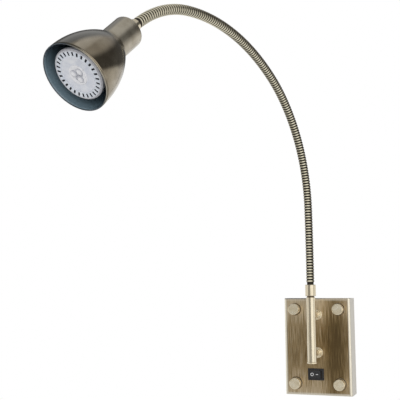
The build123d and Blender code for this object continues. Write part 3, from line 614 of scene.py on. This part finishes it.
# The dark band along the top is a painted dark reflection, and the metal is made less metallic there.
from_rim, painted_shade_slant = 97 * mm - along, 8.5
painted_shade_bowl = (1 - (sine - from_rim * painted_shade_slant).step(0.42, 0.60)) * bowl_part
painted_shade_cup = (1 - sine.step(0.34, 0.56)) * (1 - bowl_part) * 0.7
painted_shade = (painted_shade_bowl + painted_shade_cup) * upper_half
(1 - painted_shade * 0.75).feed(surface, "Metallic")
(painted_shade * 0.9).mix(tint, (0.03, 0.03, 0.026)).feed(surface, "Base Color")
(patches * 0.12 + fine * 0.04 + before.step(-46 * mm, -42 * mm) * 0.2 + 0.06).feed(surface, "Roughness")


def face_out(mesh):
    """Turns an open skin so that its faces look away from its axis."""
    if sum(face.normal.xy.dot(face.calc_center_median().xy) for face in mesh.faces) < 0:
        bmesh.ops.reverse_faces(mesh, faces=mesh.faces)


cup = bmesh.new()
trace(cup, ((5.0, cup_back), (cup_radius, cup_back), (cup_radius, cup_end)))
spin_whole(cup, 72)
back_edge = [vertex for vertex in cup.verts if vertex.co.z < (cup_back + 1) * mm and vertex.co.xy.length > 14 * mm]
shoulder = [edge for edge in cup.edges if all(vertex in back_edge for vertex in edge.verts)]
bmesh.ops.bevel(cup, geom=shoulder, offset=cup_round * mm, segments=8, profile=0.5, affect="EDGES", material=-1)
face_out(cup)
neck_cup = piece("neck_cup_shell", cup, "head", "dark_bronze", bronze, place=head)
thicken(neck_cup, cup_wall * mm)
ease(neck_cup, 0.2 * mm)
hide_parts("neck_cup")

# Shade: a bowl spun from 1 mm brass, polished dark bronze outside and glossy blue-black enamel inside.
# Its collar slips into the neck cup and its rim is rolled; the rim is painted as a highlight, pale brass on the
# right and dark blue-grey on the left.
shade_start, shade_end, shade_bulge, shade_wall = Vector((16.1, 0, 43.7)), Vector((32.9, 0, 97.3)), 0.085, 1.0
collar_shape = ((14.0, shade_start.z), (14.0, 38.6))
chord = shade_end - shade_start
rise = chord.length * shade_bulge
shade_radius = (chord.length**2 / 4 + rise**2) / (2 * rise)
square = Vector((chord.z, 0, -chord.x)).normalized()
shade_centre = (shade_start + shade_end) / 2 + square * (rise - shade_radius)
shade_sweep = 2 * math.asin(chord.length / 2 / shade_radius)
enamel, surface, start = finish("blue_black_enamel", (0.05, 0.07, 0.085), roughness=0.3, coat=0.6)
cloud = grain(start, 14 * mm, detail=2.0)
# The enamel is painted lighter towards the lower left and towards the rim, as painted light falling inside the
# bowl.
painted_light_lower_left = (on_head(start, head_left) + on_head(start, head_down) * 0.4).step(-18 * mm, 32 * mm)
near_rim = on_head(start, head_aim).step(62 * mm, 97 * mm)
tint = (painted_light_lower_left * (near_rim * 0.7 + 0.3) * 1.05 + cloud * 0.1).ramp(
    (0.1, (0.016, 0.022, 0.030)), (0.4, (0.055, 0.080, 0.10)), (0.75, (0.14, 0.21, 0.25)), (1.0, (0.19, 0.27, 0.32))
)
tint.feed(surface, "Base Color")
(cloud * 0.2 + 0.2).feed(surface, "Roughness")
bowl = bmesh.new()
seed = bowl.verts.new(shade_start * mm)
bmesh.ops.spin(bowl, geom=[seed], cent=shade_centre * mm, axis=(0, 1, 0), angle=-shade_sweep, steps=28)
trace(bowl, collar_shape, last=seed)
spin_whole(bowl, 120)
face_out(bowl)
shade = piece("shade_bowl", bowl, "head", "dark_bronze", bronze, enamel, place=head, sharp=40.0)
thicken(shade, shade_wall * mm, inner=1)
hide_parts("shade")
rim_radius, rim_height, rim_corners = 32.4, 97.5, 12
rim_angles = [math.tau * number / rim_corners for number in range(rim_corners)]
rim_shape = [(rim_radius + 0.55 * math.cos(angle), rim_height + 0.5 * math.sin(angle)) for angle in rim_angles]
rim_highlight, surface, start = finish("rim_painted_highlight", (0.20, 0.20, 0.20), metallic=1.0, roughness=0.3)
# Painted highlight: the rim is pale brass on its right side and dark blue-grey on its left.
painted_highlight_right = (on_head(start, head_left) * -1).step(10 * mm, 28 * mm)
painted_highlight_right.mix((0.11, 0.13, 0.15), (0.46, 0.42, 0.34)).feed(surface, "Base Color")
piece("shade_rim", turned(rim_shape, steps=120), "head", "dark_bronze", rim_highlight, place=head)

# Lampholder: glazed ceramic with two curved slots for the lamp's pins, on a bent strap under the head nut.
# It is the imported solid, cast in one piece and glazed, with the glaze a little warmer where it runs thin.
ceramic, surface, start = finish("glazed_ceramic", (0.82, 0.80, 0.74), roughness=0.2, coat=0.4)
glaze = grain(start, 4 * mm)
glaze.ramp((0.3, (0.78, 0.755, 0.69)), (0.7, (0.86, 0.845, 0.79))).feed(surface, "Base Color")
keep(ceramic, "ceramic", "lampholder")

# Spot lamp: a die-cast finned body with a two-pin base, painted pale grey.
# Its front is a white moulded ring with air slots round a frosted lens with three small lenses in its middle.
shell, surface, start = finish("lamp_paint", (0.72, 0.72, 0.76), roughness=0.42)
orange_peel = grain(start, 0.7 * mm)
orange_peel.ramp((0.3, (0.68, 0.68, 0.72)), (0.7, (0.76, 0.76, 0.80))).feed(surface, "Base Color")
bump(orange_peel, surface, 0.06 * mm, 0.3)
keep(shell, "lamp_shell", "lamp_housing")
ring_white, surface, start = finish("lamp_ring_moulding", (0.80, 0.80, 0.88), roughness=0.35)
skin = grain(start, 5 * mm).ramp((0.3, (0.76, 0.81, 0.90)), (0.7, (0.90, 0.94, 0.99)))
# The slots' floors are painted near black as shade.
painted_shade_in_slots = (on_head(start, head_aim) * -1).step(-92.85 * mm, -92.5 * mm)
painted_shade_in_slots.mix(skin, (0.03, 0.03, 0.04)).feed(surface, "Base Color")
face_at, ring_back = 93.0, 91.4
air_slots, slot_share, slot_depth, slot_inner, slot_outer = 28, 0.4, 1.3 * mm, 18.4, 22.3
ring_front = [(radius, face_at) for radius in (22.55, slot_outer, slot_inner, 17.5)]
lamp_ring = turned(((17.5, ring_back), (22.55, ring_back), *ring_front), steps=5 * air_slots)
slot_faces = []
for face in lamp_ring.faces:
    middle = face.calc_center_median()
    share = math.atan2(middle.y, middle.x) / math.tau * air_slots % 1
    in_slots = (slot_inner + 0.1) * mm < middle.xy.length < (slot_outer - 0.1) * mm
    if middle.z > (face_at - 0.01) * mm and in_slots and share < slot_share:
        slot_faces.append(face)
sunk = bmesh.ops.extrude_face_region(lamp_ring, geom=slot_faces)["geom"]
bmesh.ops.delete(lamp_ring, geom=slot_faces, context="FACES_ONLY")
floor_corners = [item for item in sunk if isinstance(item, bmesh.types.BMVert)]
bmesh.ops.translate(lamp_ring, verts=floor_corners, vec=(0, 0, -slot_depth))
ring = piece("lamp_ring", lamp_ring, "lamp", "lamp_plastic", ring_white, place=head)
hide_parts("lamp_face")
frosted, surface, start = finish("frosted_lens", (0.86, 0.90, 0.97), roughness=0.5, coat=0.5)
prism = grain(start, 0.5 * mm, detail=1.0)
cloud = grain(start, 7 * mm, detail=1.0)
(prism * 0.4 + cloud * 0.6).ramp((0.3, (0.70, 0.74, 0.84)), (0.7, (0.96, 0.97, 1.0))).feed(surface, "Base Color")
bump(prism, surface, 0.15 * mm, 0.4)
lens_shape = (
    (0, ring_back),
    (17.6, ring_back),
    (17.6, face_at - 0.3),
    (17.0, face_at),
    (16.2, face_at - 0.3),
    (0, face_at - 0.3),
)
lens = piece("lens_plate", turned(lens_shape, steps=96), "lamp", "lens", frosted, place=head)
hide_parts("lamp_lens")
optic_grey, surface, start = finish("lens_well", (0.45, 0.46, 0.52), roughness=0.2, coat=0.9)
# The optic's facets are painted as grey and white glints, paler away from its middle: painted reflections.
facets_and_glints = start.add("ShaderNodeTexCoord", output="Object")
facets_and_glints = facets_and_glints.add("ShaderNodeTexVoronoi", inputs={"Vector": facets_and_glints, "Scale": 330.0})
sideways, downwards = (on_head(start, axis).math("POWER", 2.0) for axis in (head_left, head_down))
from_aim = (sideways + downwards).math("SQRT")
tint = (facets_and_glints * 1.1 + from_aim.step(3.0 * mm, 8.0 * mm) * 0.55 - 0.08).ramp(
    (0.05, (0.17, 0.18, 0.20)), (0.4, (0.52, 0.53, 0.58)), (0.85, (0.97, 0.97, 1.0))
)
tint.feed(surface, "Base Color")
well_shape = (
    (0, face_at - 0.5),
    (9.6, face_at - 0.5),
    (9.6, face_at - 0.2),
    (9.1, face_at + 0.35),
    (8.1, face_at + 0.45),
    (6.4, face_at - 0.1),
    (0, face_at - 0.25),
)
piece("lens_well", turned(well_shape, steps=64), "lamp", "lens", optic_grey, place=head)
clear, surface, start = finish("clear_lens", (0.90, 0.90, 0.95), roughness=0.08, coat=1.0)
# The small lenses are painted white in the middle and grey at the edge: a painted highlight.
painted_dome_highlight = start.add("ShaderNodeAttribute", {"attribute_name": "from_top"}, output="Fac")
painted_dome_highlight.step(0.35, 1.0).mix((0.97, 0.97, 1.0), (0.50, 0.51, 0.57)).feed(surface, "Base Color")
dome_radius, dome_flatness, dome_reach = 3.7 * mm, 0.36, 4.4 * mm
for number in range(3):
    dome = bmesh.new()
    bmesh.ops.create_uvsphere(dome, u_segments=32, v_segments=16, radius=dome_radius)
    below = [vertex for vertex in dome.verts if vertex.co.z < -1e-6]
    bmesh.ops.delete(dome, geom=below, context="VERTS")
    open_edge = [edge for edge in dome.edges if edge.is_boundary]
    bmesh.ops.contextual_create(dome, geom=open_edge)
    bmesh.ops.recalc_face_normals(dome, faces=dome.faces)
    from_top = dome.verts.layers.float.new("from_top")
    for vertex in dome.verts:
        vertex[from_top] = vertex.co.xy.length / dome_radius
    bmesh.ops.scale(dome, vec=(1, 1, dome_flatness), verts=dome.verts)
    around = Matrix.Rotation(math.radians(90 + 120 * number), 4, "Z")
    dome_place = head @ around @ Matrix.Translation((dome_reach, 0, (face_at - 0.3) * mm))
    piece(f"small_lens_{number + 1}", dome, "lamp", "lens", clear, place=dome_place)

# Rocker switch: a glossy black snap-in switch below the stem; its bezel covers the cut-out in the box.
# The rocker leans to its left; an open ring and a short bar, moulded in grey, mark its two sides.
switch_x, switch_z = -3.0 * mm, -37.2 * mm
bezel_rise, pivot_depth, rocker_crest, rocker_valley, rocker_half = 1.9, 1.2, 3.2, 1.2, 7.3
black, surface, start = finish("switch_moulding", (0.018, 0.018, 0.020), roughness=0.28)
spark = grain(start, 0.35 * mm, detail=2.0)
spark.ramp((0.3, (0.012, 0.012, 0.014)), (0.8, (0.035, 0.035, 0.038))).feed(surface, "Base Color")
bump(spark, surface, 0.03 * mm, 0.35)
(spark * 0.2 + 0.2).feed(surface, "Roughness")
keep(black, "black_switch", "switch_body", "switch_rocker")
mark_grey, surface, start = finish("switch_marks", (0.62, 0.62, 0.62), roughness=0.5)
grain(start, 0.4 * mm).ramp((0.3, (0.80, 0.80, 0.80)), (0.8, (0.95, 0.95, 0.95))).feed(surface, "Base Color")
lean = Matrix.Rotation(math.radians(-6), 4, "Z")
hinge = Matrix.Translation((switch_x, front_y - (bezel_rise - pivot_depth) * mm, switch_z)) @ lean @ outwards
valley = math.atan2(rocker_crest - rocker_valley, rocker_half)
ring_shape = ((1.45, 0.0), (2.15, 0.0), (2.15, 0.22), (1.45, 0.22))
left_face = hinge @ Matrix.Translation((-4.7 * mm, 0, 2.49 * mm)) @ Matrix.Rotation(valley, 4, "Y")
piece("off_mark", turned(ring_shape, steps=32), "rocker", "black_switch", mark_grey, place=left_face)
bar_size = Vector((3.4, 0.85, 0.36)) * mm
bar = bmesh.new()
bmesh.ops.create_cube(bar, size=1.0)
bmesh.ops.scale(bar, vec=bar_size, verts=bar.verts)
right_face = hinge @ Matrix.Translation((1.9 * mm, 0, 1.84 * mm)) @ Matrix.Rotation(-valley, 4, "Y")
on_mark = piece("on_mark", bar, "rocker", "black_switch", mark_grey, place=right_face)
ease(on_mark, 0.08 * mm)
